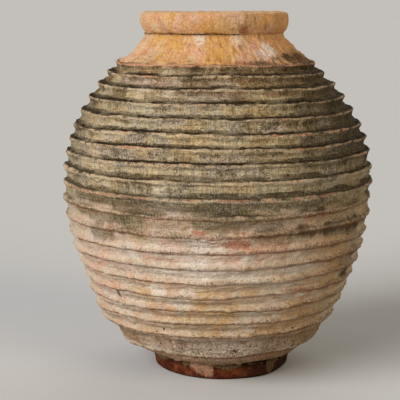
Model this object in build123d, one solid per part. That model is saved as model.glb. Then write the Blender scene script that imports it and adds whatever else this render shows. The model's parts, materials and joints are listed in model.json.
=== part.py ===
from build123d import *
import os
from math import hypot

# Ribbed terracotta oil jar, built up by hand.
#
# The potter lays a round base slab, raises a collar and a wide bowl course on it, and then adds
# one clay course after another. Each course ends in a pinched ridge that laps over the course
# below it. A flared neck and a thick rolled rim close the jar. Every course is a closed ring of
# its own, and it meets its neighbours on a flat luting face.
#
# Frame: millimetres, +Z up, origin on the ground under the middle of the belly.

# Overall size
HEIGHT = 840
BELLY_RADIUS = 364
BELLY_HEIGHT = 440

# Curve through the crests of the ridges, from the neck down to the bowl: (radius, height)
TOP_CREST = (231, 722)
SHOULDER_CREST = (318, 612)
HIGH_CREST = (357, 515)
BELLY_CREST = (BELLY_RADIUS, BELLY_HEIGHT)
FLANK_CREST = (339, 303)
LOW_CREST = (270, 136.5)

# Courses, numbered from the bottom up, with their widths along that curve
COURSE_COUNT = 18
COURSE_WIDTH = 36.2
UNEVEN_COURSES = {7: 38, 8: 38, 12: 32, 13: 32, 18: 31}

# Ridge at the foot of each course, and the hollow between two ridges
CREST_HALF = 4
CREST_NOSE = 2.5
LIP_TUCK = 6
HOLLOW_TOP = 9
HOLLOW_LOW = 5

# Wall, from a crest to the inside face
WALL = 28

# Rolled rim
RIM_RADIUS = 174.5
RIM_HEIGHT = 48
RIM_BULGE = 26
RIM_UNDER_RADIUS = 167
RIM_CORNER = 11
BULGE_ROUND = 30
MOUTH_RADIUS = 132
MOUTH_DEPTH = 36
LIP_ROUND = 9

# Neck
THROAT_RADIUS = 161
THROAT_HEIGHT = HEIGHT - 55
THROAT_INSIDE = 137
NECK_WAIST = (184, 756)

# Bowl course, collar and base slab
BOWL_SHOULDER = (246, 108)
BOWL_SIDE = (235, 88.5)
BOWL_CORNER = (222, 70)
BOWL_UNDER_RADIUS = 203
BOWL_INSIDE_RADIUS = 176
COLLAR_HEIGHT = 22
COLLAR_TOP_RADIUS = 196
COLLAR_SIDE = (180, 46)
COLLAR_FOOT_RADIUS = 154
FLOOR_RADIUS = 126
SLAB_RADIUS = 160
SLAB_HEIGHT = 36
SLAB_EDGE = 3

# The jar leans a little, so each ring is set off along X from the ring below it
BODY_LEAN = 0.0094
SLAB_SHIFT = 11
COLLAR_SHIFT = 8
BOWL_SHIFT = 5
NECK_SHIFT = -4.5
RIM_SHIFT = -8


def crest_points():
    """The crest of each ridge as (radius, height), from the top one down to the low one."""
    curve = Spline(TOP_CREST, SHOULDER_CREST, HIGH_CREST, BELLY_CREST, FLANK_CREST, LOW_CREST)
    widths = [UNEVEN_COURSES.get(number, COURSE_WIDTH) for number in range(COURSE_COUNT, 0, -1)]
    places = [sum(widths[:count]) / sum(widths) for count in range(COURSE_COUNT + 1)]
    return [((curve @ place).X, (curve @ place).Y) for place in places]


def inside_radius(crests, index):
    """Radius of the inside face behind a crest, so that the wall keeps its thickness on a slope."""
    above = crests[max(index - 1, 0)]
    below = crests[min(index + 1, COURSE_COUNT)]
    slope = (below[0] - above[0]) / (above[1] - below[1])
    return crests[index][0] - WALL * hypot(1, slope)


def luting_height(crest):
    """Height of the flat face under a ridge, where the next course down begins."""
    return crest[1] - CREST_HALF


def crest_nose(crest):
    """The rounded nose of a ridge, from its upper corner down to the luting face."""
    radius, height = crest
    corner = radius - CREST_NOSE
    return ThreePointArc((corner, height + CREST_HALF), crest, (corner, height - CREST_HALF))


def hollow_point(upper, lower, depth):
    """The deepest point of the hollow between two crests, square to the line that joins them."""
    across, down = lower[0] - upper[0], upper[1] - lower[1]
    length = hypot(across, down)
    middle = (upper[0] + lower[0]) / 2, (upper[1] + lower[1]) / 2
    return middle[0] - depth * down / length, middle[1] - depth * across / length


def ring(outer, inner_low, inner_high, shift):
    """A closed ring, from its outer line (top to bottom) and the two ends of its straight inside."""
    inside = Polyline(outer @ 1, inner_low, inner_high, outer @ 0)
    profile = make_face(outer + inside)
    return Pos(shift, 0, 0) * revolve(Plane.XZ * profile, Axis.Z)


def rim_roll():
    """Thick rolled rim with a bulged face, soft edges and a short straight mouth."""
    under, bulge = HEIGHT - RIM_HEIGHT, HEIGHT - RIM_BULGE
    profile = make_face(Polyline(
        (THROAT_INSIDE, under),
        (RIM_UNDER_RADIUS, under),
        (RIM_RADIUS, bulge),
        (RIM_RADIUS, HEIGHT),
        (MOUTH_RADIUS, HEIGHT),
        (MOUTH_RADIUS, HEIGHT - MOUTH_DEPTH),
        close=True,
    ))
    rounds = {
        (RIM_RADIUS, bulge): BULGE_ROUND,
        (RIM_RADIUS, HEIGHT): RIM_CORNER,
        (MOUTH_RADIUS, HEIGHT): LIP_ROUND,
    }
    for corner, radius in rounds.items():
        vertex = profile.vertices().sort_by_distance(corner)[0]
        profile = fillet(vertex, radius)
    return Pos(RIM_SHIFT, 0, 0) * revolve(Plane.XZ * profile, Axis.Z)


def neck_collar(crests):
    """Flared neck, with a short straight throat under the rim and the top ridge at its foot."""
    nose = crest_nose(crests[0])
    top = (THROAT_RADIUS, HEIGHT - RIM_HEIGHT)
    throat = (THROAT_RADIUS, THROAT_HEIGHT)
    flare = ThreePointArc(throat, NECK_WAIST, nose @ 0)
    outer = Wire([Line(top, throat), flare, nose])
    inner_low = (inside_radius(crests, 0), luting_height(crests[0]))
    inner_high = (THROAT_INSIDE, HEIGHT - RIM_HEIGHT)
    return ring(outer, inner_low, inner_high, NECK_SHIFT)


def rib_course(crests, index):
    """The course between two crests: a hollow, and the ridge at its foot."""
    upper, lower = crests[index], crests[index + 1]
    depth = HOLLOW_TOP + (HOLLOW_LOW - HOLLOW_TOP) * index / (COURSE_COUNT - 1)
    nose = crest_nose(lower)
    start = (upper[0] - LIP_TUCK, luting_height(upper))
    hollow = ThreePointArc(start, hollow_point(upper, lower, depth), nose @ 0)
    inner_low = (inside_radius(crests, index + 1), luting_height(lower))
    inner_high = (inside_radius(crests, index), luting_height(upper))
    shift = BODY_LEAN * (BELLY_HEIGHT - lower[1])
    return ring(Wire([hollow, nose]), inner_low, inner_high, shift)


def bowl_band(crests):
    """The wide, slightly bulged lowest course, with a soft lower corner and a sloping underside."""
    low = crests[-1]
    under = SLAB_HEIGHT + COLLAR_HEIGHT
    lap = Line((low[0] - LIP_TUCK, luting_height(low)), BOWL_SHOULDER)
    side = ThreePointArc(BOWL_SHOULDER, BOWL_SIDE, BOWL_CORNER)
    outer = Wire([lap, side, Line(BOWL_CORNER, (BOWL_UNDER_RADIUS, under))])
    inner_low = (BOWL_INSIDE_RADIUS, under)
    inner_high = (inside_radius(crests, COURSE_COUNT), luting_height(low))
    return ring(outer, inner_low, inner_high, BOWL_SHIFT)


def foot_collar():
    """The stepped collar that carries the bowl course on the base slab."""
    top = SLAB_HEIGHT + COLLAR_HEIGHT
    foot = (COLLAR_FOOT_RADIUS, SLAB_HEIGHT)
    outer = ThreePointArc((COLLAR_TOP_RADIUS, top), COLLAR_SIDE, foot)
    return ring(outer, (FLOOR_RADIUS, SLAB_HEIGHT), (BOWL_INSIDE_RADIUS, top), COLLAR_SHIFT)


def base_disc():
    """The round slab that the jar stands on, with soft edges."""
    slab = Cylinder(SLAB_RADIUS, SLAB_HEIGHT, align=(Align.CENTER, Align.CENTER, Align.MIN))
    slab = fillet(slab.edges().filter_by(GeomType.CIRCLE), SLAB_EDGE)
    return Pos(SLAB_SHIFT, 0, 0) * slab


crests = crest_points()
nodes = {
    "base_disc": base_disc(),
    "foot_collar": foot_collar(),
    "bowl_band": bowl_band(crests),
    "neck_collar": neck_collar(crests),
    "rim_roll": rim_roll(),
}
for index in range(COURSE_COUNT):
    nodes[f"rib_course_{COURSE_COUNT - index:02d}"] = rib_course(crests, index)

os.makedirs("parts", exist_ok=True)
for name, solid in nodes.items():
    export_step(solid, f"parts/{name}.step")
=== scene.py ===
import json
import math
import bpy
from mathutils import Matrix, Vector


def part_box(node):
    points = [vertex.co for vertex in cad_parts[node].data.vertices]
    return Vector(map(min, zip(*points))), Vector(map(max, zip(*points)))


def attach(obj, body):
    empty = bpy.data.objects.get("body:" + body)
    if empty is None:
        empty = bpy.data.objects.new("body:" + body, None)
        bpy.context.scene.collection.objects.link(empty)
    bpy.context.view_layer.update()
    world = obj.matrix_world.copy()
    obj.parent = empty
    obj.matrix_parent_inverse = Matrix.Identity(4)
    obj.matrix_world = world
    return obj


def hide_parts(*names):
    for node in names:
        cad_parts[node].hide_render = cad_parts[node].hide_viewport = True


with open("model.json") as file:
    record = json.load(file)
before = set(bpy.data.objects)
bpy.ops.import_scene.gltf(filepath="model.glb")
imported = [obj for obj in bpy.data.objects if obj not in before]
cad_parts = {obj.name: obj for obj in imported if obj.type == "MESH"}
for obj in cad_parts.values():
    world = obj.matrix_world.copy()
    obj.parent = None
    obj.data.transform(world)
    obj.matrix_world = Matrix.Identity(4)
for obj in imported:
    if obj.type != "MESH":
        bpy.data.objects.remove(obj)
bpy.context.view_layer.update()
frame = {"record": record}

from types import SimpleNamespace

import bpy
import numpy as np
from mathutils import Vector

# A hand-built ribbed terracotta oil jar. Every clay course is a closed shell of its own. The shells
# are cut from one continuous outside and one continuous inside, so neighbours meet without a gap.
# Metres, +Z up. Azimuth 0 is the front (-Y), and azimuth 90 degrees is the right-hand side (+X).

# ---------------------------------------------------------------- resolution
AROUND = 1280            # vertices round the jar
OUTSIDE_ROW = 0.0019     # row spacing on the outside
INSIDE_ROW = 0.007       # row spacing on the inside
TURN_ROOM = 0.005        # extra outline length given to each radian of turn
AZIMUTH = np.linspace(-math.pi, math.pi, AROUND, endpoint=False)

# ---------------------------------------------------------------- what the frame says
COURSES = 18
CREST_HALF = 0.004       # the luting face lies this far under a crest


def ring_of(node):
    """Radius, centre along X, lowest and highest point of a CAD ring."""
    low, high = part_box(node)
    return (high.x - low.x) / 2, (high.x + low.x) / 2, low.z, high.z


COURSE_NODES = [f"rib_course_{number:02d}" for number in range(COURSES, 0, -1)]
STACK = ["rim_roll", "neck_collar"] + COURSE_NODES + ["bowl_band", "foot_collar", "base_disc"]
RINGS = {node: ring_of(node) for node in STACK}
CREST_RADIUS = np.array([RINGS[node][0] for node in STACK[1:-3]])
CREST_HEIGHT = np.array([RINGS[node][2] + CREST_HALF for node in STACK[1:-3]])
TOP = RINGS["rim_roll"][3]
NECK_TOP = RINGS["rim_roll"][2]
BOWL_BOTTOM = RINGS["bowl_band"][2]
SLAB_TOP = RINGS["base_disc"][3]
SLAB_RADIUS = RINGS["base_disc"][0]
RIM_RADIUS = RINGS["rim_roll"][0]
SLOT_OF = {entry["node"]: entry["material_slot"] for entry in frame["record"]["subparts"]}

# ---------------------------------------------------------------- seeded noise
SHEET_STEP = 0.001       # sheet row spacing, along the outline
SHEET_ROWS = 1600
SHEET_RADIUS = 0.3       # radius at which a feature's width is true


def blurred(seed, across, along):
    """A sheet of smooth noise with a spread of 1, its features across by along metres."""
    white = np.random.default_rng(seed).standard_normal((SHEET_ROWS, AROUND))
    down = np.fft.fftfreq(SHEET_ROWS, SHEET_STEP)[:, None]
    around = np.fft.rfftfreq(AROUND, 2 * math.pi * SHEET_RADIUS / AROUND)[None, :]
    keep = np.exp(-1.2 * ((around * across) ** 2 + (down * along) ** 2))
    sheet = np.fft.irfft2(np.fft.rfft2(white) * keep, s=white.shape)
    return sheet / sheet.std()


def fractal(seed, across, along, octaves=3):
    """Noise with smaller and fainter copies of itself added, its spread about 1."""
    layers = [blurred(seed + k, across / 2 ** k, along / 2 ** k) * 0.55 ** k for k in range(octaves)]
    summed = sum(layers)
    return summed / summed.std()


def rise(value, low, high):
    """0 below low, 1 above high, and a smooth rise between them."""
    t = np.clip((value - low) / (high - low), 0, 1)
    return t * t * (3 - 2 * t)


def fall(value, low, high):
    """1 below low, 0 above high, and a smooth fall between them."""
    return 1 - rise(value, low, high)


def window(value, low, full, fade, gone):
    """0 below low, 1 from full to fade, and 0 again above gone."""
    return rise(value, low, full) * fall(value, fade, gone)


def bump(value, centre, width):
    """1 at centre, falling smoothly to 0 a width or two away."""
    return np.exp(-((value - centre) / width) ** 2)


# ---------------------------------------------------------------- smooth outline through rings
def spline_weights(t, count):
    """How much each of count control rings pulls at the places t of a clamped quadratic spline."""
    piece = np.minimum(t.astype(int), count - 3)
    u = t - piece
    rows = np.arange(len(t))
    middle = piece + 1
    before = (1 - u) ** 2
    after = u ** 2
    weights = np.zeros((len(t), count))
    first, last = piece == 0, piece == count - 3
    weights[rows, middle] += 2 * u * (1 - u)
    weights[rows, middle - 1] += np.where(first, before, before / 2)
    weights[rows, middle] += np.where(first, 0, before / 2)
    weights[rows, middle + 1] += np.where(last, after, after / 2)
    weights[rows, middle] += np.where(last, 0, after / 2)
    return weights


def smooth_rows(controls, spacing):
    """Rings along a smooth outline pulled by control rings, closer together where it turns."""
    rings = np.array([[np.broadcast_to(radius, AROUND), np.broadcast_to(height, AROUND)]
                      for radius, height in controls])
    count = len(controls)
    dense = np.linspace(0, count - 2, 60 * (count - 2) + 1)
    line = spline_weights(dense, count) @ rings.mean(axis=2)
    step = np.diff(line, axis=0)
    heading = np.unwrap(np.arctan2(step[:, 1], step[:, 0]))
    turn = np.abs(np.diff(heading, prepend=heading[0]))
    measure = np.concatenate([[0], np.cumsum(np.hypot(step[:, 0], step[:, 1]) + TURN_ROOM * turn)])
    places = np.linspace(0, measure[-1], max(4, math.ceil(measure[-1] / spacing)) + 1)
    weights = spline_weights(np.interp(places, measure, dense), count)
    return np.tensordot(weights, rings, axes=(1, 0))


# ---------------------------------------------------------------- the hand-made unevenness of ridges
def round_waves(seed, count, longest, shortest):
    """One uneven wave round the jar for each of count rings, alike between neighbours."""
    rng = np.random.default_rng(seed)
    waves = np.zeros((count, AROUND))
    for order in range(longest, shortest + 1):
        size = rng.standard_normal((2, count + 2)) / order ** 0.8
        size = (size[:, :-2] + 2 * size[:, 1:-1] + size[:, 2:]) / 4
        waves += size[0][:, None] * np.cos(order * AZIMUTH) + size[1][:, None] * np.sin(order * AZIMUTH)
    return waves / waves.std()


CRESTS = len(CREST_RADIUS)
SHARE = np.linspace(0, 1, CRESTS)[:, None]
LOW_TILT = 0.0045        # the lower courses stand this much lower on the left than at the middle
crest_radius = CREST_RADIUS[:, None] + 0.0013 * round_waves(21, CRESTS, 2, 9)
crest_radius += 0.0005 * round_waves(22, CRESTS, 12, 60)
crest_height = CREST_HEIGHT[:, None] + 0.0010 * round_waves(23, CRESTS, 2, 9)
crest_height += 0.0003 * round_waves(24, CRESTS, 12, 70)
crest_height += LOW_TILT * rise(SHARE, 0.35, 0.9) * np.sin(AZIMUTH)


def along_share(index, values):
    """A size that changes down the jar, from five values between the top and the bottom crest."""
    return float(np.interp(index / (CRESTS - 1), [0, 0.3, 0.5, 0.68, 1], values))


def under_crest(i):
    """Where the luting face meets the outside, just under a crest."""
    inset = along_share(i, [0.0024, 0.0032, 0.0046, 0.0056, 0.0058])
    drop = along_share(i, [0.0085, 0.0085, 0.0075, 0.0062, 0.0058])
    return crest_radius[i] - inset, crest_height[i] - drop


def nose(i):
    """The control rings of a ridge: the shelf on top of it and its rounded edge."""
    half = along_share(i, [0.0042, 0.0042, 0.0040, 0.0036, 0.0034])
    shelf = along_share(i, [0.0170, 0.0140, 0.0095, 0.0052, 0.0036])
    climb = along_share(i, [0.0068, 0.0078, 0.0085, 0.0090, 0.0095])
    tuck = along_share(i, [0.0012, 0.0012, 0.0008, 0.0002, 0.0002])
    radius, height = crest_radius[i], crest_height[i]
    return [
        (radius - shelf, height + climb + 0.002),
        (radius - shelf * 0.60, height + climb * 0.70),
        (radius - 0.0014, height + half + 0.0004),
        (radius + 0.0012, height + half * 0.2),
        (radius - tuck, height - half),
    ]


def course_controls(i):
    """Control rings of the course between crest i and crest i + 1."""
    start_radius, start_height = under_crest(i)
    shelf_radius, shelf_height = nose(i + 1)[0]
    hollow = along_share(i, [0.0010, 0.0010, 0.0010, -0.0004, -0.0012])
    face = (start_radius * 0.55 + shelf_radius * 0.45 - hollow, (start_height + shelf_height) / 2)
    lead = (start_radius - 0.0006, start_height - 0.0035)
    return [(start_radius, start_height), lead, face] + nose(i + 1) + [under_crest(i + 1)]


def neck_controls():
    """The throat under the rim, the flare, and the top crest."""
    flare = [(0.1628, NECK_TOP - 0.0005), (0.1602, NECK_TOP - 0.008), (0.1690, 0.7745), (0.1800, 0.7625),
             (0.1880, 0.7520), (0.2015, 0.7410), (0.2150, 0.7310), (0.2245, 0.7268)]
    sway = 0.0015 * round_waves(25, 1, 2, 6)[0]
    return [(r + sway, z) for r, z in flare] + nose(0)[2:] + [under_crest(0)]


def rim_controls():
    """The rolled rim, from the straight mouth over the top to its underside."""
    lift = 0.0006 * round_waves(26, 1, 2, 7)[0]
    sway = 0.0010 * round_waves(27, 1, 2, 7)[0]
    outline = [(0.1322, TOP - 0.016), (0.1318, TOP - 0.004), (0.1400, TOP + 0.0006), (0.1530, TOP + 0.0008),
               (RIM_RADIUS - 0.011, TOP - 0.0006), (RIM_RADIUS - 0.0010, TOP - 0.0042),
               (RIM_RADIUS + 0.0014, TOP - 0.016), (RIM_RADIUS + 0.0006, TOP - 0.028),
               (RIM_RADIUS - 0.0035, TOP - 0.038), (RIM_RADIUS - 0.0080, NECK_TOP + 0.0022),
               (0.1642, NECK_TOP + 0.0002)]
    end = (0.1628 + 0.0015 * round_waves(25, 1, 2, 6)[0], NECK_TOP - 0.0005)
    return [(r + sway, z + lift * (z > NECK_TOP)) for r, z in outline] + [end]


def bowl_controls():
    """The wide lowest course, its soft lower corner and its underside."""
    radius, height = under_crest(CRESTS - 1)
    sway = 0.0015 * round_waves(28, 1, 2, 7)[0]
    lift = 0.0015 * round_waves(29, 1, 2, 9)[0] + LOW_TILT * np.sin(AZIMUTH)
    outline = [(0.2478, 0.1140), (0.2410, 0.1000), (0.2358, 0.0890), (0.2305, 0.0795), (0.2252, 0.0735),
               (0.2185, 0.0705), (0.2105, 0.0692), (0.2085, 0.0655)]
    side = [(r + sway, z + lift) for r, z in outline]
    return [(radius, height), (radius - 0.004, height - 0.006)] + side + [(0.2020, BOWL_BOTTOM)]


def collar_controls():
    """Two soft steps between the bowl and the base slab."""
    return [(0.2020, BOWL_BOTTOM), (0.1965, 0.0545), (0.1915, 0.0535), (0.1890, 0.0490), (0.1830, 0.0462),
            (0.1765, 0.0445), (0.1725, 0.0405), (0.1650, 0.0378), (0.1545, SLAB_TOP)]


def slab_controls():
    """The edge of the base slab, and its flat underside nearly to the middle."""
    sway = 0.0014 * round_waves(30, 1, 2, 9)[0]
    edge = [(0.1585, SLAB_TOP - 0.0004), (SLAB_RADIUS + 0.0010, SLAB_TOP - 0.004), (SLAB_RADIUS, 0.018),
            (SLAB_RADIUS - 0.0008, 0.0050), (SLAB_RADIUS - 0.0040, 0.0)]
    flat = [(radius, 0.0) for radius in (0.148, 0.100, 0.040, 0.012)]
    return [(0.1545, SLAB_TOP)] + [(r + sway, z) for r, z in edge] + flat


# ---------------------------------------------------------------- the whole outside and inside
def joined(sections, spacing):
    """All sections as one stack of rings, and the first and last row of each section."""
    rows, spans, start = [], [], 0
    for controls in sections:
        part = smooth_rows(controls, spacing)
        rows.append(part if not rows else part[1:])
        spans.append((start, start + len(part) - 1))
        start += len(part) - 1
    return np.concatenate(rows), spans


outside_sections = [rim_controls(), neck_controls()]
outside_sections += [course_controls(i) for i in range(CRESTS - 1)]
outside_sections += [bowl_controls(), collar_controls(), slab_controls()]
outside, outside_spans = joined(outside_sections, OUTSIDE_ROW)


def inside_joint(i):
    """Where the luting face under a crest meets the inside."""
    above, below = max(i - 1, 0), min(i + 1, CRESTS - 1)
    slope = (CREST_RADIUS[below] - CREST_RADIUS[above]) / (CREST_HEIGHT[above] - CREST_HEIGHT[below])
    return crest_radius[i] - 0.028 * math.hypot(1, slope), crest_height[i] - CREST_HALF


def inside_sections():
    """The inside of every piece, with the shallow finger channel that each course was pressed with."""
    wall = [[(0.1322, TOP - 0.016), (0.1320, TOP - 0.030), (0.1335, TOP - 0.040), (0.1370, NECK_TOP)]]
    ends = [(0.1370, NECK_TOP)] + [inside_joint(i) for i in range(CRESTS)] + [(0.1760, BOWL_BOTTOM)]
    channels = [0.001] + [0.0045] * (CRESTS - 1) + [0.006]
    for (top_radius, top_height), (low_radius, low_height), channel in zip(ends, ends[1:], channels):
        steps = [(share, channel * math.sin(math.pi * share)) for share in (0.2, 0.5, 0.8)]
        middle = [(top_radius + (low_radius - top_radius) * s + c, top_height + (low_height - top_height) * s)
                  for s, c in steps]
        wall.append([(top_radius, top_height)] + middle + [(low_radius, low_height)])
    wall.append([(0.1760, BOWL_BOTTOM), (0.1660, 0.0505), (0.1480, 0.0415), (0.1260, SLAB_TOP)])
    wall.append([(radius, SLAB_TOP) for radius in (0.126, 0.090, 0.050, 0.012)])
    return wall


inside, inside_spans = joined(inside_sections(), INSIDE_ROW)

# ---------------------------------------------------------------- where each row lies on the outline
mean_line = outside.mean(axis=2)
row_step = np.hypot(*np.diff(mean_line, axis=0).T)
row_place = np.concatenate([[0], np.cumsum(row_step)])
tangent = np.gradient(mean_line, axis=0)
tangent /= np.hypot(tangent[:, 0], tangent[:, 1])[:, None]
normal_radius, normal_height = -tangent[:, 1:2], tangent[:, 0:1]
crest_rows = [int(np.argmin(np.hypot(mean_line[:, 0] - r, mean_line[:, 1] - z)))
              for r, z in zip(CREST_RADIUS, CREST_HEIGHT)]
crest_place = row_place[crest_rows]
first_crest, last_crest = crest_place[0], crest_place[-1]
neck_start = row_place[outside_spans[1][0]]
place = row_place[:, None]
nearest = np.abs(place - crest_place[None, :]).argmin(axis=1)
from_crest = place - crest_place[nearest][:, None]     # above a crest it is negative
share_down = np.interp(row_place, crest_place, np.linspace(0, 1, CRESTS))[:, None]


def on_rows(sheet):
    """A noise sheet read at the outside rows."""
    line = np.minimum(row_place / SHEET_STEP, SHEET_ROWS - 1.001)
    low = line.astype(int)
    part = (line - low)[:, None]
    return sheet[low] * (1 - part) + sheet[low + 1] * part


# ---------------------------------------------------------------- surface relief
azimuth = np.degrees(AZIMUTH)[None, :]

# Which part of the outline a row is on, from 0 to 1
on_body = window(place, first_crest - 0.004, first_crest + 0.004, last_crest + 0.004, last_crest + 0.02)
on_neck = window(place, neck_start + 0.008, first_crest - 0.03, first_crest - 0.008, first_crest - 0.001)
on_rim = fall(place, neck_start - 0.006, neck_start)
off_underside = fall(place, row_place[-1] - 0.165, row_place[-1] - 0.155)
off_mouth = rise(place, 0.0, 0.012)

# Dents and swellings, from broad to fine, and the fine level lines of the smoothing
relief = 0.0010 * on_rows(fractal(41, 0.15, 0.08, 2))
relief += 0.00060 * on_rows(fractal(42, 0.045, 0.022, 3))
relief += 0.00030 * on_rows(fractal(43, 0.012, 0.010, 2))
relief += 0.00016 * on_rows(fractal(44, 0.10, 0.005, 2))

# The edge of each ridge is nibbled, and broken away in places
nibble = on_rows(fractal(45, 0.022, 0.030, 3))
chip = on_rows(fractal(46, 0.050, 0.045, 2))
at_crest = bump(from_crest, 0.0, 0.0045)
relief -= at_crest * (0.0010 * rise(nibble, 0.0, 1.8) + 0.0022 * rise(chip, 1.5, 2.5)) * on_body

# Finger flutes on the neck, crisper on the right
flute_wave = on_rows(blurred(47, 0.030, 0.16)) + 0.6 * on_rows(blurred(48, 0.012, 0.07))
relief += (0.0007 + 0.0005 * rise(azimuth, 15, 50)) * on_neck * flute_wave

# Pits where grit fell out, most of them low on the jar
pit_noise = on_rows(blurred(49, 0.0062, 0.0062))
pit_level = 2.75 - 0.9 * rise(share_down, 0.93, 1.0) - 0.45 * bump(mean_line[:, 1:2], 0.087, 0.009)
pit = rise(pit_noise, pit_level, pit_level + 0.4) * (0.5 + 0.5 * rise(share_down, 0.9, 1.0))
relief -= 0.0016 * pit

relief *= off_underside * off_mouth * (1 - 0.55 * on_rim)
outside[:, 0] += normal_radius * relief
outside[:, 1] += normal_height * relief
outside[:, 1] = np.maximum(outside[:, 1], 0.0)

# ---------------------------------------------------------------- the slight lean of the jar
LEAN_HEIGHTS = [(RINGS[node][2] + RINGS[node][3]) / 2 for node in reversed(STACK)]
LEAN_CENTRES = [RINGS[node][1] for node in reversed(STACK)]


def in_space(rings):
    """Points of rings given as radius and height round the jar's leaning axis."""
    radius, height = rings[:, 0], rings[:, 1]
    centre = np.interp(height, LEAN_HEIGHTS, LEAN_CENTRES)
    return np.stack([centre + radius * np.sin(AZIMUTH), -radius * np.cos(AZIMUTH), height], axis=2)


outside_points, inside_points = in_space(outside), in_space(inside)


# ---------------------------------------------------------------- shells
def shell_rows(first, last, inside_first, inside_last):
    """Rows of one closed shell as (is outside, row): up the inside, then down the outside."""
    rows = [(False, k) for k in range(inside_last, inside_first - 1, -1)]
    if inside_first == 0:
        rows.pop()
    rows += [(True, k) for k in range(first, last + 1)]
    return rows


def quads(count, wrap):
    """Faces between rows of a shell that goes round once, or from pole to pole."""
    here = np.arange(count if wrap else count - 1)[:, None] * AROUND
    below = (here + AROUND) % (count * AROUND)
    left = np.arange(AROUND)[None, :]
    right = (left + 1) % AROUND
    corners = [here + left, below + left, below + right, here + right]
    return np.stack([np.broadcast_to(c, (len(here), AROUND)) for c in corners], axis=2).reshape(-1, 4)


def add_attribute(mesh, name, values):
    """One number for each vertex, which the clay material reads by name."""
    attribute = mesh.attributes.new(name, "FLOAT", "POINT")
    attribute.data.foreach_set("value", np.ascontiguousarray(values, dtype=np.float32).ravel())


def make_shell(node, spans, inside_span, masks):
    """The closed mesh of one clay piece, with its masks."""
    rows = shell_rows(*spans, *inside_span)
    points = np.concatenate([outside_points[k] if out else inside_points[k] for out, k in rows])
    solid_bottom = node == "base_disc"
    faces = quads(len(rows), wrap=not solid_bottom).tolist()
    if solid_bottom:
        floor_middle, foot_middle = points[:AROUND].mean(axis=0), points[-AROUND:].mean(axis=0)
        last = (len(rows) - 1) * AROUND
        for j in range(AROUND):
            after = (j + 1) % AROUND
            faces.append([len(points), j, after])
            faces.append([len(points) + 1, last + after, last + j])
        points = np.concatenate([points, [floor_middle, foot_middle]])
    mesh = bpy.data.meshes.new(node)
    mesh.from_pydata(points.tolist(), [], faces)
    mesh.shade_smooth()
    mesh.set_sharp_from_angle(angle=math.radians(62))
    for name, (outer, inner) in masks.items():
        values = np.concatenate([outer[k] if out else inner[k] for out, k in rows])
        if solid_bottom:
            values = np.concatenate([values, values[:1], values[-1:]])
        add_attribute(mesh, name, values)
    piece = bpy.data.objects.new(f"{node}_clay", mesh)
    bpy.context.scene.collection.objects.link(piece)
    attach(piece, "root")
    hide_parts(node)
    return piece


# ---------------------------------------------------------------- where the weather got at the clay, and painted light and shade
# Cloudy noises, with features of different sizes and shapes
wander = on_rows(fractal(61, 0.13, 0.06, 4))
patchy = on_rows(fractal(62, 0.075, 0.055, 4))
drift = on_rows(fractal(63, 0.20, 0.17, 4))
runs = on_rows(fractal(64, 0.016, 0.11, 3))
smudge = on_rows(fractal(65, 0.055, 0.12, 4))
dabs = on_rows(fractal(66, 0.026, 0.040, 4))
blots = on_rows(fractal(67, 0.090, 0.024, 4))

# How far above or below the nearest crest a row lies, and 1 m where it is on the other side of it
above_crest = np.where(from_crest < 0, -from_crest, 1.0)
below_crest = np.where(from_crest > 0, from_crest, 1.0)
crest_level = CREST_HEIGHT[nearest][:, None]

# Parts of the jar, from 0 to 1
height = outside[:, 1]
neck_part = fall(place, first_crest - 0.0075, first_crest - 0.0045)
rim_part = rise(height, NECK_TOP - 0.002, NECK_TOP + 0.004)
body_part = (1 - neck_part) * rise(height, 0.060, 0.064)
bowl_part = fall(height, 0.1215, 0.1290)
foot_part = fall(height, 0.0360, 0.0395)
weathered = rise(height + 0.014 * wander, 0.385, 0.440) * body_part
turning = np.maximum(rise(height + 0.014 * wander, 0.335, 0.400) * body_part - weathered, 0)
shoulder = rise(height + 0.010 * wander, 0.645, 0.690) * body_part
lower_part = (1 - weathered) * body_part * (1 - bowl_part)
right_side = window(azimuth, 5, 65, 115, 160)

# Parts of each course: its head, the depth of its tread, its edge, and the edge with the red line
band_head = fall(below_crest, 0.008, 0.026) * body_part
tread = np.interp(height, [0.40, 0.46, 0.56, 0.66, 0.72], [0.0085, 0.0100, 0.0135, 0.0170, 0.0170])
edge_zone = bump(from_crest, -0.0014, 0.0032) * (1 - 0.2 * neck_part)
red_line = edge_zone * bump(crest_level, 0.4489, 0.010) * rise(nibble + 0.6 * patchy, -1.3, 0.6)


# Each function below makes a mask, which add_attribute stores on the shells and the clay reads. Single
# marks are placed one by one, as the photo shows them: (strength, azimuth, height, half width, half height).
def patch(at, level, width, tall, edge=0.5):
    """A soft ragged patch at an azimuth and a height, its half sizes in degrees and metres."""
    gap = (azimuth - at + 180) % 360 - 180
    reach = np.sqrt((gap / width) ** 2 + ((height - level) / tall) ** 2)
    return fall(reach + 0.16 * patchy + 0.16 * runs, 1 - edge, 1 + edge)


def marks(*spots):
    """Several patches added up, each with its strength first."""
    return sum(strength * patch(*spot) for strength, *spot in spots)


def dry_skin():
    """The grey-brown skin of the upper body."""
    skin = np.clip(weathered + 0.55 * turning, 0, 1)
    skin *= 1 - marks((0.80, -62, 0.422, 10, 0.009), (0.75, -27, 0.425, 14, 0.011))
    skin *= 1 - marks((0.35, 30, 0.417, 12, 0.007), (0.40, 19, 0.392, 10, 0.009))
    return skin


def brown_wash():
    """Browner skin on the shoulder."""
    gone = marks((0.55, -44, 0.690, 28, 0.018), (0.35, 0, 0.684, 12, 0.010))
    return shoulder * (0.95 + 0.3 * wander) * (1 - gone)


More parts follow.
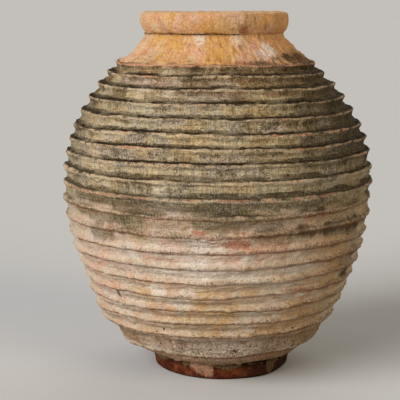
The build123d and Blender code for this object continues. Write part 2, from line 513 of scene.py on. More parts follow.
def pink_wash():
    """Pink clay that shows through the bloom."""
    low_marks = marks((1, -4, 0.345, 22, 0.030), (1, 3, 0.325, 6, 0.012))
    pink = lower_part * (rise(blots + 0.7 * drift, -1.1, 1.5) + low_marks)
    pink += neck_part * marks(
        (0.7, -72, 0.745, 20, 0.03), (1, -14, 0.768, 7, 0.03), (1, 27, 0.745, 12, 0.03),
    )
    pink += rim_part * rise(dabs + 0.6 * patchy, -0.7, 1.3)
    pink += marks((1, -22, 0.826, 14, 0.008), (1, 12, 0.829, 10, 0.008), (0.8, 44, 0.800, 8, 0.010))
    pink += patch(-4, 0.362, 8, 0.012)
    pink += 0.6 * lower_part * bump(from_crest, -0.001, 0.007) * rise(blots - 0.5 * dabs, -0.8, 1.2)
    pink *= 1 - 0.60 * lower_part * window(-azimuth, 45, 75, 110, 140)
    return pink + 0.5 * weathered * rise(patchy - 0.6 * drift, 0.5, 2.0)


def cream_wash():
    """Pale bloom, thinner on the right, and painted light on the right edge of the lower body and at the far
    left of the neck.
    """
    cream = lower_part * rise(smudge + 0.5 * blots - 0.4 * drift, -0.9, 1.8) * (1 - 0.55 * right_side)
    cream += neck_part * rise(dabs + 0.5 * runs, 0.0, 1.9) * (1 - rim_part)
    cream *= 1 - 0.85 * (neck_part - rim_part) * patch(3, 0.765, 9, 0.035)
    cream += neck_part * marks(
        (0.9, -13, 0.780, 5, 0.012), (0.7, -50, 0.745, 6, 0.016), (0.6, 12, 0.735, 2.5, 0.010),
    )
    cream += 0.8 * rim_part * rise(patchy - 0.6 * dabs, 0.2, 1.8)
    cream += rim_part * marks(
        (0.5, 16, 0.815, 15, 0.030), (1, 18, 0.822, 3, 0.006), (1, -52, 0.806, 6, 0.010),
    )
    # Painted light: the right edge of the lower body made paler.
    cream += lower_part * (0.35 * window(azimuth, 52, 70, 100, 130) + 0.8 * bump(azimuth, 72, 15))
    cream += 1.1 * bowl_part * patch(2, 0.095, 34, 0.030)
    # Painted light: the far left of the neck made paler.
    return cream + 0.6 * neck_part * window(-azimuth, 50, 78, 110, 140)


def ochre_wash():
    """Ochre, most of it on the neck and low on the right."""
    ochre = lower_part * rise(blots - 0.7 * smudge, 0.0, 1.9) * (0.35 + 0.45 * right_side)
    ochre += 0.90 * lower_part * right_side
    ochre += 0.75 * lower_part * fall(height, 0.190, 0.300) * rise(azimuth, -50, -10) * (1 - right_side)
    ochre += lower_part * marks(
        (1, -33, 0.233, 7, 0.010), (1, 4, 0.249, 12, 0.010), (0.8, -29, 0.355, 6, 0.016),
    )
    ochre += neck_part * (0.25 + 0.45 * rise(dabs + 0.8 * smudge, -0.6, 1.6))
    ochre += neck_part * marks(
        (1.2, 2, 0.762, 8, 0.050), (0.8, -36, 0.778, 26, 0.018), (0.9, 2, 0.806, 14, 0.016),
        (1, -42, 0.752, 5, 0.03),
    )
    ochre += weathered * rise(smudge + 0.9 * blots, -0.3, 1.6) * (0.5 + 0.5 * rise(height, 0.46, 0.60))
    return ochre + rim_part * marks(
        (1, -38, 0.812, 8, 0.020), (0.9, -8, 0.800, 9, 0.012), (0.7, 33, 0.818, 7, 0.014),
    )


def ash_wash():
    """Thin grey film, and the far left of the lower body greyer."""
    ash = weathered * rise(patchy - 0.8 * smudge, 0.0, 1.8)
    ash += 0.7 * lower_part * rise(dabs - 0.7 * blots, 0.1, 1.9)
    return ash + 0.6 * lower_part * window(-azimuth, 50, 75, 110, 140)


def lime_wash():
    """Near-white lime, in clouds low on the jar and in single patches, and a painted highlight along the
    bowl's lower ledge.
    """
    lime = 0.8 * lower_part * rise(patchy - 0.5 * drift, 1.0, 2.6)
    lime += 0.5 * lower_part * rise(dabs - 0.6 * smudge, 1.1, 2.6)
    # Painted highlight along the bowl's lower ledge, weaker on the right.
    lime += 0.8 * bowl_part * bump(height, 0.0780, 0.0055) * (1 - 0.6 * right_side)
    lower = marks(
        (1, -24, 0.242, 4, 0.014), (0.8, -19, 0.287, 4, 0.010), (0.7, 32, 0.290, 10, 0.009),
        (0.35, -5, 0.365, 7, 0.008), (0.5, -2, 0.345, 8, 0.008), (0.7, 24, 0.210, 5, 0.045),
        (0.45, -18, 0.340, 13, 0.014), (0.45, 0, 0.322, 14, 0.018), (0.45, 20, 0.394, 9, 0.010),
        (0.50, 0, 0.286, 12, 0.012), (0.7, 34, 0.222, 5, 0.010), (0.5, -40, 0.336, 8, 0.008),
        (0.7, -53, 0.352, 5, 0.012), (0.6, 11, 0.277, 7, 0.009),
    )
    upper = marks(
        (0.28, 20, 0.430, 9, 0.010), (0.70, -20, 0.446, 10, 0.030), (0.25, 44, 0.485, 10, 0.030),
        (0.30, 1, 0.520, 9, 0.026), (0.22, -46, 0.535, 12, 0.055), (0.16, 20, 0.586, 9, 0.010),
        (0.45, 21, 0.594, 8, 0.011), (0.65, 0, 0.656, 10, 0.011), (0.30, -20, 0.670, 13, 0.055),
        (0.60, 0, 0.684, 10, 0.009), (0.30, -20, 0.684, 10, 0.010), (0.7, -44, 0.684, 15, 0.012),
    )
    neck = marks(
        (1.5, 38, 0.755, 4.2, 0.013, 0.3), (0.8, 30, 0.745, 4, 0.010), (0.6, 16, 0.775, 4, 0.012),
        (0.7, -12, 0.776, 3, 0.010),
    )
    return lime + lower + upper + neck


def soot_wash():
    """Black crust on the treads and in single marks, and the upper body made darker towards the far right."""
    ragged = 0.0035 * patchy + 0.0030 * blots + 0.0030 * runs * rise(height, 0.50, 0.60)
    soot = fall(above_crest + ragged, tread, tread + 0.012)
    soot *= weathered * np.clip(0.85 + 0.25 * wander + 0.25 * right_side, 0, 1.2)
    soot += neck_part * right_side * rise(runs + 0.5 * patchy, 0.0, 1.8) * fall(height, 0.735, 0.775)
    soot += 0.60 * weathered * rise(blots + 0.6 * runs, 0.5, 2.4)
    # The upper body is made darker towards the far right; the far left gets more black crust.
    on_right = 0.10 + 0.80 * rise(height, 0.490, 0.525) - 0.30 * rise(height, 0.655, 0.690)
    on_left = 0.22 + 0.40 * bump(height, 0.57, 0.06)
    soot += weathered * window(azimuth, 22, 62, 120, 160) * on_right
    soot += weathered * window(-azimuth, 55, 80, 125, 165) * on_left
    lower = marks(
        (0.95, 46, 0.374, 17, 0.014), (0.15, 22, 0.374, 9, 0.010), (0.5, 45, 0.338, 4, 0.007),
        (0.6, 64, 0.300, 4, 0.020), (0.6, 64, 0.255, 4, 0.014), (0.8, 62, 0.253, 5, 0.014),
        (0.3, 24, 0.226, 2, 0.006), (0.5, 48, 0.235, 4, 0.010), (0.9, -45.5, 0.220, 1.3, 0.010, 0.4),
        (0.40, -1.5, 0.430, 9, 0.014), (0.45, -42, 0.438, 22, 0.005),
    )
    upper = marks(
        (0.9, -36, 0.703, 3, 0.006), (0.9, 64, 0.730, 14, 0.020), (0.8, 51, 0.740, 4, 0.008),
        (0.8, 27, 0.7265, 9, 0.007),
    )
    neck = 0.5 * marks(
        (1, -44, 0.805, 0.9, 0.0025), (1, -20, 0.767, 0.6, 0.006), (1, 3.2, 0.766, 0.6, 0.006),
        (1, 17, 0.764, 1.6, 0.004), (1, 40.5, 0.805, 0.8, 0.0045), (1, 36, 0.785, 0.8, 0.006),
        (1, -16.5, 0.733, 2.2, 0.0020), (1, -5, 0.736, 0.7, 0.003), (1, 38, 0.737, 4, 0.0045),
        (1, -26, 0.728, 4, 0.002),
    )
    return soot + lower + upper + neck


def stain_wash():
    """Dark olive stains, and darker olive over the upper body on the right and at the heads of the lower
    courses on the right.
    """
    stain = 0.75 * weathered * rise(drift + 0.7 * patchy, 0.3, 2.0)
    cloud = rise(smudge + 0.4 * patchy, -1.2, 1.2) * (0.25 + 0.75 * rise(height, 0.48, 0.53))
    # Darker olive over the upper body on the right.
    stain += 0.75 * right_side * weathered * cloud
    stain += 0.8 * turning * band_head * rise(wander + 0.5 * runs, -0.6, 1.4)
    stain += 0.5 * rim_part * rise(dabs + 0.6 * patchy, 0.5, 2.0) * (0.5 + 0.5 * rise(azimuth, 0, 40))
    # Darker olive at the head of each lower course on the right.
    stain += 0.50 * lower_part * right_side * band_head * rise(dabs + 0.6 * blots, -1.0, 1.0)
    return stain + marks(
        (1, -44, 0.437, 26, 0.008), (1, -3, 0.432, 16, 0.016), (0.9, -1.5, 0.395, 5, 0.022),
        (0.9, 30, 0.436, 20, 0.008), (0.9, 54, 0.362, 14, 0.014), (0.5, 36, 0.378, 12, 0.009),
        (0.55, 20, 0.354, 9, 0.010), (0.9, -48, 0.360, 6, 0.018), (0.7, -56, 0.408, 7, 0.012),
        (0.3, 24, 0.812, 3, 0.010), (0.60, 60, 0.29, 8, 0.03), (0.7, 4, 0.400, 14, 0.014),
        (0.6, -46, 0.396, 11, 0.012), (0.8, 42, 0.374, 16, 0.014),
    )


def packed_grime_and_shade():
    """Black dirt packed in the corner of each tread and at the foot of the neck, and painted shade in the
    corner under the rim.
    """
    grime_and_shade = fall(above_crest, 0.85 * tread, 1.15 * tread) * rise(above_crest, 0.0034, 0.0050) * weathered
    grime_and_shade *= (0.30 + 0.70 * rise(dabs + 0.8 * wander, -1.3, 0.7)) * (0.35 + 0.65 * rise(height, 0.455, 0.540))
    neck_foot = fall(above_crest, 0.0060, 0.0085) * rise(above_crest, 0.0034, 0.0048) * neck_part
    # Painted shade: a dark line in the corner under the rim, fainter on the right.
    rim_foot = bump(place - neck_start, 0.0016, 0.0018) * (0.78 + 0.20 * rise(dabs, -1, 1))
    rim_foot *= 1 - 0.75 * window(azimuth, 14, 26, 90, 120)
    return np.maximum(np.maximum(grime_and_shade, 0.8 * neck_foot), rim_foot)


def under_shade():
    """Painted shade: brown shadow lines under the lower ridges and under the bowl's lip, along the steps of
    the foot, and a darker collar.
    """
    under = bump(below_crest, 0.0074, 0.0036) * (1 - weathered) * body_part
    under *= 0.45 + 0.55 * rise(blots + 0.5 * nibble, -1.0, 1.2)
    under *= 1 + 0.4 * right_side
    under = np.maximum(under, bump(height, 0.0675, 0.0028) * (1 - neck_part))
    under = np.maximum(under, 0.5 * bump(height, 0.0462, 0.0016))
    return under + 0.35 * fall(height, 0.0600, 0.0660) * (1 - foot_part)


def hollow_shade():
    """Painted shade: brown under the lip of each lower course, mostly on the right."""
    shade = lower_part * bump(below_crest, 0.006, 0.012) * (0.12 + 0.80 * right_side)
    return shade * (1 - 0.55 * rise(azimuth, 48, 72)) * (0.6 + 0.4 * rise(blots, -1, 1))


def lichen_specks():
    """How thickly dark specks of lichen are strewn."""
    lichen = weathered * (0.58 + 0.16 * patchy + 0.10 * right_side)
    lichen += (body_part - weathered) * (0.20 + 0.10 * patchy) + neck_part * (0.20 + 0.12 * smudge)
    lichen += 0.35 * turning + 0.56 * bowl_part * (1 - foot_part)
    lichen += lower_part * (0.16 * right_side + 0.12 * rise(dabs, 0.3, 2.0))
    lichen += lower_part * bump(from_crest, 0.0, 0.006) * (0.42 + 0.45 * right_side)
    return lichen + 0.22 * neck_part * bump(height, 0.734, 0.012)


def worn_and_highlit_edges():
    """Pale clay on the edges where the skin wore away, and painted highlight on the lower crests (most on the
    right), along the bowl's lower ledge and on the rim top.
    """
    worn_and_highlit = edge_zone * rise(0.9 + 0.6 * nibble, -0.6, 1.2) * weathered
    wear_and_light = 0.25 + 0.45 * right_side + 0.40 * rise(nibble + 0.5 * dabs, -0.6, 1.4)
    # Lower crests: pale wear, and painted highlight that is stronger on the right.
    worn_and_highlit += bump(from_crest, -0.001, 0.0055) * lower_part * wear_and_light
    # Painted highlight along the bowl's lower ledge.
    worn_and_highlit += 0.9 * bump(height, 0.0765, 0.0050) * body_part * bowl_part
    # Painted highlight on the rim top.
    return worn_and_highlit + 0.5 * bump(height, TOP - 0.0015, 0.004) * neck_part


def bare_edges():
    """Clean orange clay where a ridge has lost its skin."""
    bare = 0.8 * edge_zone * rise(-0.5 + 0.7 * nibble + 0.5 * wander, 0.0, 1.6) * weathered
    bare += 0.9 * edge_zone * bump(crest_level, 0.7218, 0.006)
    spots = patch(45, 0.585, 26, 0.07) + patch(-45, 0.705, 22, 0.02)
    return bare + 0.9 * edge_zone * spots * rise(nibble + 0.6 * dabs, -0.7, 0.9)


def red_scars():
    """Broken places, where the red body shows."""
    scar = 0.75 * red_line + 0.45 * lower_part * bump(from_crest, 0.0015, 0.0030) * rise(nibble, 0.2, 1.4)
    return scar + marks(
        (0.8, -7, 0.381, 3, 0.004), (0.72, 7, 0.352, 7, 0.009), (0.65, 23, 0.798, 3.6, 0.010),
        (0.7, -70, 0.066, 6, 0.008), (0.8, 14, 0.730, 2.5, 0.004), (0.5, 7, 0.729, 4, 0.003),
        (0.5, 20, 0.806, 4, 0.010), (0.8, 22, 0.225, 2.2, 0.005), (0.8, 25, 0.195, 1.6, 0.005),
        (0.6, 34, 0.240, 6, 0.004),
    )


def salmon_patches():
    """Pinkish patches, where the skin has come off."""
    salmon = 0.6 * red_line + 0.5 * neck_part * rise(patchy, 0.2, 2.0)
    salmon += body_part * marks(
        (1, -31, 0.688, 7, 0.009), (0.9, 16, 0.695, 8, 0.004), (0.8, 30, 0.664, 8, 0.003),
    )
    return salmon + marks(
        (1, 4, 0.326, 5, 0.012), (0.7, 9, 0.340, 7, 0.008), (0.6, -20, 0.318, 10, 0.006),
        (0.55, -44, 0.684, 15, 0.011), (0.45, 12, 0.347, 13, 0.010), (0.30, -20, 0.445, 9, 0.030),
        (0.8, -58, 0.4485, 26, 0.0050),
    )


def painted_light_on_right():
    """Painted light: the rim and neck brighter and deeper orange towards the right, and the lower body's
    right edge lighter.
    """
    painted_light_right = rim_part * (0.35 + 0.65 * rise(azimuth, -30, 25)) * fall(azimuth, 100, 150)
    painted_light_right += 0.5 * lower_part * window(azimuth, 50, 68, 95, 120)
    flare = 0.35 * rise(azimuth, -30, 10) + 0.65 * rise(azimuth, 25, 50)
    return painted_light_right + (neck_part - rim_part) * flare * fall(azimuth, 100, 150)


def drab_bowl():
    """Grey-beige film on the bowl, with painted shade at its far left edge."""
    drab = np.maximum(bowl_part, 0.6 * fall(height, 0.125, 0.205) * fall(azimuth, -60, 60))
    # Painted shade: greyer at the far left of the bowl.
    return drab + 0.6 * bowl_part * fall(azimuth, -85, -50) - 0.85 * patch(0, 0.098, 36, 0.030)


def tan_bowl():
    """Darker tan towards both sides of the bowl, painted shade at its edges, and tan low on the body at the
    front and right.
    """
    # Painted shade: darker towards both sides of the bowl.
    tan = bowl_part * (1.2 * fall(azimuth, -75, -44) + 0.8 * rise(azimuth, 25, 60))
    return tan + 0.45 * lower_part * fall(height, 0.150, 0.215) * window(azimuth, -35, 5, 60, 95)


def foot_film():
    """Dirt left on the red foot."""
    film = rise(height + 0.0045 * patchy + 0.0030 * blots, 0.0280, 0.0335)
    return foot_part * (film + marks((1, -66, 0.034, 12, 0.008), (0.8, 44, 0.020, 5, 0.014)))


def dark_foot():
    """The foot's shaded right side, top and bottom edge."""
    dark = 0.75 * rise(azimuth, 6, 34) + 0.7 * rise(height + 0.002 * blots, 0.022, 0.031)
    return foot_part * (dark + 0.6 * fall(height, 0.002, 0.010))


outside_masks = {
    "skin": dry_skin(),
    "brown": brown_wash(),
    "pink": pink_wash(),
    "cream": cream_wash(),
    "ochre": ochre_wash(),
    "ash": ash_wash(),
    "lime": lime_wash(),
    "soot": soot_wash(),
    "stain": stain_wash(),
    "grime_and_shade": packed_grime_and_shade(),
    "under": under_shade(),
    "hollow": hollow_shade(),
    "lichen": lichen_specks(),
    "worn_and_highlit": worn_and_highlit_edges(),
    "bare": bare_edges(),
    "scar": red_scars(),
    "salmon": salmon_patches(),
    "painted_light_right": painted_light_on_right(),
    "bowl": drab_bowl(),
    "tan": tan_bowl(),
    "neck": neck_part,
    "foot": foot_part,
    "foot_skin": foot_film(),
    "foot_cream": foot_part * patch(-17, 0.031, 9.5, 0.019),
    "foot_dark": dark_foot(),
    "pit": pit,
}
outside_masks = {name: np.clip(np.broadcast_to(values, height.shape), 0, 1)
                 for name, values in outside_masks.items()}

# The inside is plain ochre clay with a few specks
inside_masks = {name: np.zeros_like(inside[:, 0]) for name in outside_masks}
inside_masks["ochre"] += 0.35
inside_masks["lichen"] += 0.12
MASKS = {name: (outside_masks[name], inside_masks[name]) for name in outside_masks}

# ---------------------------------------------------------------- node helpers
LIGHT_LEVEL = 1.62       # how bright a white surface shows where the key light falls on it


def tone(red, green, blue):
    """A surface colour that shows as this 0 to 255 colour in full key light."""
    linear = [(c / 255 / 12.92) if c < 10.3 else ((c / 255 + 0.055) / 1.055) ** 2.4
              for c in (red, green, blue)]
    return tuple(min(c / LIGHT_LEVEL, 1) for c in linear) + (1,)


def add(tree, kind, inputs, **settings):
    """A new shader node; an input that is a socket is linked, and any other is set."""
    made = tree.nodes.new("ShaderNode" + kind)
    for name, value in settings.items():
        setattr(made, name, value)
    for key, value in inputs.items():
        if isinstance(value, bpy.types.NodeSocket):
            tree.links.new(value, made.inputs[key])
        else:
            made.inputs[key].default_value = value
    return made


def compute(tree, operation, first, second=0.0, third=0.0):
    """The result of a sum or another operation on numbers."""
    return add(tree, "Math", {0: first, 1: second, 2: third}, operation=operation).outputs[0]


def total(tree, first, *others):
    """All the numbers added up."""
    for other in others:
        first = compute(tree, "ADD", first, other)
    return first


def product(tree, first, *others):
    """All the numbers multiplied together."""
    for other in others:
        first = compute(tree, "MULTIPLY", first, other)
    return first


def lessened(tree, start, value, share):
    """The start less a share of a value."""
    return compute(tree, "SUBTRACT", start, product(tree, value, share))


def mixed(tree, factor, under, over):
    """One colour laid over another."""
    return add(tree, "Mix", {0: factor, 6: under, 7: over}, data_type="RGBA").outputs[2]


def noise(tree, place, scale, detail=4.0, roughness=0.55):
    """Plain noise, around 0.5."""
    inputs = {"Vector": place, "Scale": scale, "Detail": detail, "Roughness": roughness}
    return add(tree, "TexNoise", inputs).outputs["Fac"]


def stretched(tree, place, x, y, z):
    """The place with its axes scaled. Noise read there is drawn out along an axis with a small scale."""
    return add(tree, "Mapping", {"Vector": place, "Scale": (x, y, z)}).outputs["Vector"]


def mask(tree, name):
    """One of the weathering masks."""
    return add(tree, "Attribute", {}, attribute_name=name).outputs["Fac"]


def ramp(tree, value, low, high, top=1.0):
    """0 up to low and top from high on, smoothly."""
    inputs = {"Value": value, "From Min": low, "From Max": high, "To Min": 0.0, "To Max": top}
    return add(tree, "MapRange", inputs, interpolation_type="SMOOTHSTEP").outputs["Result"]


def layer(tree, under, name, grain, amount, softness, over, top=1.0):
    """A layer as its mask says, with its edge broken up by a noise."""
    broken = compute(tree, "MULTIPLY_ADD", grain, amount, -amount / 2)
    shifted = total(tree, mask(tree, name), broken)
    return mixed(tree, ramp(tree, shifted, 0.5 - softness / 2, 0.5 + softness / 2, top), under, over)


def wash(tree, under, name, grain, over, top=1.0):
    """A thin layer that fades in as its mask does, cloudy all through."""
    cloud = total(tree, ramp(tree, grain, 0.34, 0.66, 0.6), 0.7)
    factor = product(tree, mask(tree, name), cloud, top)
    return mixed(tree, compute(tree, "MINIMUM", factor, 1.0), under, over)


# ---------------------------------------------------------------- weathered clay, with painted light and shade
def clay_noises(tree):
    """The noises of the clay, from broad clouds to single grains, and with an upright and a level grain."""
    place = add(tree, "TexCoord", {}).outputs["Object"]
    upright = stretched(tree, place, 1, 1, 0.12)
    level = stretched(tree, place, 0.10, 0.10, 1)
    return SimpleNamespace(
        broad=noise(tree, place, 11, 5),
        middle=noise(tree, place, 38, 5),
        small=noise(tree, place, 110, 4),
        specks=noise(tree, place, 250, 3, 0.65),
        pepper=noise(tree, place, 360, 2, 0.7),
        grain=noise(tree, place, 620, 2, 0.6),
        streaks=noise(tree, upright, 260, 3, 0.6),
        lines=noise(tree, level, 330, 3, 0.6),
    )


def fired_clay(tree, noises):
    """Fired clay of the lower body and the neck, the bloom that the weather left on it, and painted light and
    shade.
    """
    middle, small, on_neck = noises.middle, noises.small, mask(tree, "neck")
    color = mixed(tree, ramp(tree, middle, 0.36, 0.64), tone(204, 174, 152), tone(222, 204, 184))
    neck = mixed(tree, ramp(tree, middle, 0.38, 0.62), tone(212, 150, 102), tone(230, 176, 126))
    color = mixed(tree, on_neck, color, neck)
    # Painted light: a bright orange wash on the right of the rim and neck, and on the lower right edge.
    color = wash(tree, color, "painted_light_right", middle, tone(284, 208, 138), 0.66)
    color = wash(tree, color, "pink", small, tone(232, 172, 156), 0.76)
    gold = mixed(tree, on_neck, tone(208, 164, 96), tone(228, 170, 82))
    color = wash(tree, color, "ochre", middle, gold, 0.72)
    bloom = mixed(tree, on_neck, tone(228, 214, 194), tone(238, 206, 170))
    color = wash(tree, color, "cream", small, bloom, 0.66)
    color = wash(tree, color, "bowl", small, tone(180, 150, 114), 0.80)
    # Tan: painted shade at the sides of the bowl.
    color = wash(tree, color, "tan", small, tone(146, 112, 66), 0.72)
    color = wash(tree, color, "ash", small, tone(196, 184, 160), 0.66)
    # Painted shade: brown under the lips of the lower courses.
    return wash(tree, color, "hollow", small, tone(98, 70, 36), 0.86)


def dry_clay(tree, noises):
    """The grey-brown skin of the upper body."""
    middle = noises.middle
    color = mixed(tree, ramp(tree, noises.broad, 0.36, 0.64), tone(195, 179, 146), tone(200, 169, 118))
    color = mixed(tree, ramp(tree, middle, 0.48, 0.68, 0.6), color, tone(179, 169, 145))
    color = wash(tree, color, "ochre", middle, tone(196, 154, 88), 0.58)
    color = wash(tree, color, "ash", middle, tone(164, 156, 146), 0.70)
    color = wash(tree, color, "pink", middle, tone(196, 160, 138), 0.65)
    return wash(tree, color, "brown", middle, tone(154, 104, 46), 0.88)


def with_foot(tree, noises, color):
    """The bare red foot laid over the clay, with the dirt on it and painted shade."""
    middle, small = noises.middle, noises.small
    # The red is partly the foot's own deep colour and partly painted shade under the bowl.
    red = mixed(tree, ramp(tree, middle, 0.42, 0.64), tone(76, 26, 4), tone(124, 62, 30))
    color = layer(tree, color, "foot", middle, 0.5, 0.3, red)
    color = wash(tree, color, "foot_dark", middle, tone(24, 11, 2), 0.80)
    color = layer(tree, color, "foot_skin", small, 0.9, 0.4, tone(104, 80, 54))
    return layer(tree, color, "foot_cream", small, 1.1, 0.5, tone(176, 132, 104), 0.9)


def with_edges(tree, noises, color):
    """Streaks in the clay, soot, the edges with their wear and painted highlight, and the broken edges."""
    on_skin, specks = mask(tree, "skin"), noises.specks
    dark_streaks = product(tree, ramp(tree, noises.streaks, 0.46, 0.62, 0.36), on_skin)
    color = mixed(tree, dark_streaks, color, tone(92, 78, 50))
    pale_streaks = product(tree, ramp(tree, noises.streaks, 0.54, 0.40, 0.32), on_skin)
    color = mixed(tree, pale_streaks, color, tone(226, 210, 174))
    clean = lessened(tree, compute(tree, "SUBTRACT", 1.0, on_skin), mask(tree, "foot"), 1.0)
    level_lines = product(tree, ramp(tree, noises.lines, 0.44, 0.66, 0.44), clean)
    color = mixed(tree, level_lines, color, tone(166, 122, 86))
    color = wash(tree, color, "brown", noises.middle, tone(116, 78, 34), 0.52)
    color = wash(tree, color, "soot", specks, tone(54, 42, 22), 0.90)
    # Pale clay where the edges wore, with painted highlight.
    color = layer(tree, color, "worn_and_highlit", specks, 0.9, 0.9, tone(230, 202, 166), 0.72)
    color = layer(tree, color, "bare", specks, 0.9, 0.7, tone(212, 144, 108), 0.80)
    return layer(tree, color, "scar", noises.small, 0.9, 0.8, tone(160, 84, 60), 0.72)


def with_specks(tree, noises, color):
    """Lichen, single pale and dark grains, and fine changes of level."""
    on_skin, on_foot = mask(tree, "skin"), mask(tree, "foot")
    threshold = compute(tree, "MULTIPLY_ADD", mask(tree, "lichen"), -0.25, 0.71)
    spots = compute(tree, "SUBTRACT", noises.specks, threshold)
    lichen = mixed(tree, on_skin, tone(108, 66, 40), tone(60, 46, 27))
    color = mixed(tree, ramp(tree, spots, 0.0, 0.05, 0.80), color, lichen)

    sootless = lessened(tree, 1.0, mask(tree, "soot"), 0.62)
    bright = lessened(tree, lessened(tree, 0.58, on_foot, 0.52), mask(tree, "neck"), 0.26)
    pale_grains = product(tree, ramp(tree, noises.grain, 0.56, 0.68), product(tree, bright, sootless))
    color = mixed(tree, pale_grains, color, tone(236, 220, 190))

    rough_light = ramp(tree, noises.specks, 0.36, 0.64, 0.40)
    lined_light = ramp(tree, noises.lines, 0.38, 0.62, 0.20)
    level = total(tree, rough_light, lined_light, 0.755)
    color = add(tree, "Mix", {0: 1.0, 6: color, 7: level}, data_type="RGBA", blend_type="MULTIPLY").outputs[2]

    peppered = total(tree, product(tree, on_skin, 0.26), 0.13)
    peppered = product(tree, peppered, lessened(tree, 1.0, on_foot, 1.0))
    dark_grains = product(tree, ramp(tree, noises.pepper, 0.54, 0.62), peppered)
    color = mixed(tree, dark_grains, color, tone(74, 54, 32))
    light_grains = product(tree, ramp(tree, noises.pepper, 0.45, 0.37), peppered, sootless)
    return mixed(tree, light_grains, color, tone(232, 214, 176))


def clay_relief(tree, noises):
    """The fine relief of the clay as a normal."""
    height_sum = total(
        tree,
        product(tree, noises.specks, 0.6),
        product(tree, noises.small, 0.3),
        product(tree, noises.grain, 0.45),
        product(tree, noises.lines, 0.40),
    )
    return add(tree, "Bump", {"Height": height_sum, "Strength": 0.9, "Distance": 0.0034}).outputs["Normal"]


def clay_group():
    """The colour, roughness and relief of hand-made clay, weathered and with painted light and shade as the
    masks say.
    """
    tree = bpy.data.node_groups.new("clay_weather_and_light", "ShaderNodeTree")
    for name, kind in (("Color", "Color"), ("Roughness", "Float"), ("Normal", "Vector")):
        tree.interface.new_socket(name, in_out="OUTPUT", socket_type="NodeSocket" + kind)
    noises = clay_noises(tree)
    small = noises.small
    color = layer(tree, fired_clay(tree, noises), "skin", small, 0.7, 0.8, dry_clay(tree, noises), 0.97)
    color = layer(tree, color, "salmon", small, 1.0, 0.8, tone(216, 146, 112), 0.66)
    color = wash(tree, color, "lime", small, tone(248, 238, 226), 0.66)
    color = layer(tree, color, "stain", small, 0.8, 1.1, tone(94, 78, 46), 0.76)
    color = with_foot(tree, noises, color)
    color = with_edges(tree, noises, color)
    color = with_specks(tree, noises, color)
    # Painted shade: brown lines under the ridges and the bowl's lip, and the darker collar.
    color = wash(tree, color, "under", small, tone(138, 84, 46), 0.80)
    # Black dirt in the treads, and painted shade in the corner under the rim.
    color = wash(tree, color, "grime_and_shade", small, tone(46, 32, 16), 0.92)
    color = mixed(tree, mask(tree, "pit"), color, tone(56, 40, 26))
    made = tree.nodes.new("NodeGroupOutput")
    tree.links.new(color, made.inputs["Color"])
    tree.links.new(total(tree, ramp(tree, small, 0.3, 0.7, 0.12), 0.82), made.inputs["Roughness"])
    tree.links.new(clay_relief(tree, noises), made.inputs["Normal"])
    return tree


def clay_material(name, group):
    """One material slot's clay."""
    material = bpy.data.materials.new(name)
    material.use_nodes = True
    tree = material.node_tree
    shader = tree.nodes["Principled BSDF"]
    clay = tree.nodes.new("ShaderNodeGroup")
    clay.node_tree = group
    tree.links.new(clay.outputs["Color"], shader.inputs["Base Color"])
    tree.links.new(clay.outputs["Roughness"], shader.inputs["Roughness"])
    tree.links.new(clay.outputs["Normal"], shader.inputs["Normal"])
    shader.inputs["Specular IOR Level"].default_value = 0.10
    return material


clay = clay_group()
MATERIALS = {slot: clay_material(slot, clay) for slot in sorted(set(SLOT_OF.values()))}
for order, node in enumerate(STACK):
    shell = make_shell(node, outside_spans[order], inside_spans[order], MASKS)
    shell.data.materials.append(MATERIALS[SLOT_OF[node]])

# ---------------------------------------------------------------- floor, light and camera
FLOOR_COLOR = (0.493, 0.490, 0.4915, 1)
ROOM_COLOR = (1.0, 0.962, 0.905, 1)
ROOM_AT_FLOOR = 0.547    # light of the room from all sides, low down
ROOM_OVERHEAD = 0.17     # and from above
LENS = 107.2             # millimetres, for a picture 36 mm wide
CAMERA_PLACE = (-0.041, -2.811, 0.840)
CAMERA_DIP = 8.99        # degrees below level


def plain_floor():
    """A wide, pale, even floor."""
    bpy.ops.mesh.primitive_plane_add(size=400, location=(0, 0, 0))
    floor = bpy.context.object
    floor.name = "floor"
    material = bpy.data.materials.new("floor_paint")
    material.use_nodes = True
    shader = material.node_tree.nodes["Principled BSDF"]
    shader.inputs["Base Color"].default_value = FLOOR_COLOR
    shader.inputs["Roughness"].default_value = 1.0
    shader.inputs["Specular IOR Level"].default_value = 0.0
    floor.data.materials.append(material)


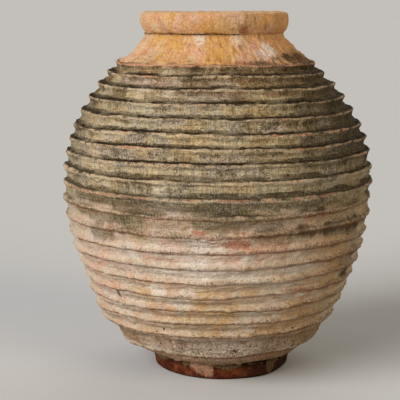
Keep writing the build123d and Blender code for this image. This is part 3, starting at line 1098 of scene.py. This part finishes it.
def sun(name, energy, spread, turn, lift, color):
    """A soft lamp far away, shining from azimuth turn and lifted above the floor, in degrees."""
    data = bpy.data.lights.new(name, "SUN")
    data.energy = energy
    data.angle = math.radians(spread)
    data.color = color
    lamp = bpy.data.objects.new(name, data)
    turn, lift = math.radians(turn), math.radians(lift)
    towards = Vector((math.sin(turn), -math.cos(turn), math.tan(lift)))
    lamp.rotation_euler = towards.to_track_quat("Z", "Y").to_euler()
    bpy.context.scene.collection.objects.link(lamp)


def studio_light():
    """A very soft key from the front left, a warm fill from the right, weak lamps far left and behind."""
    sun("key", 4.3, 46, -50, 25, (1.0, 0.985, 0.965))
    sun("fill", 1.05, 34, 42, 28, (1.0, 0.87, 0.60))
    sun("far_left", 0.55, 60, -105, 8, (0.90, 0.97, 1.0))
    sun("back", 0.90, 55, 165, 35, (1.0, 0.98, 0.95))


def dim_room():
    """Even light from all sides, a little stronger low down, as pale as the floor where they meet."""
    world = bpy.data.worlds.new("room")
    world.use_nodes = True
    tree = world.node_tree
    direction = add(tree, "TexCoord", {}).outputs["Generated"]
    upward = add(tree, "SeparateXYZ", {"Vector": direction}).outputs["Z"]
    heights = {"Value": upward, "From Min": 0.02, "From Max": 0.22}
    levels = {"To Min": ROOM_AT_FLOOR, "To Max": ROOM_OVERHEAD}
    strength = add(tree, "MapRange", {**heights, **levels}).outputs["Result"]
    background = tree.nodes["Background"]
    background.inputs["Color"].default_value = ROOM_COLOR
    tree.links.new(strength, background.inputs["Strength"])
    bpy.context.scene.world = world


def photo_camera():
    """A long lens at rim height, turned a little down."""
    data = bpy.data.cameras.new("camera")
    data.sensor_width = 36
    data.lens = LENS
    camera = bpy.data.objects.new("camera", data)
    camera.location = CAMERA_PLACE
    camera.rotation_euler = (math.radians(90 - CAMERA_DIP), 0, 0)
    bpy.context.scene.collection.objects.link(camera)
    bpy.context.scene.camera = camera


plain_floor()
studio_light()
dim_room()
photo_camera()
bpy.context.scene.view_settings.view_transform = "Standard"
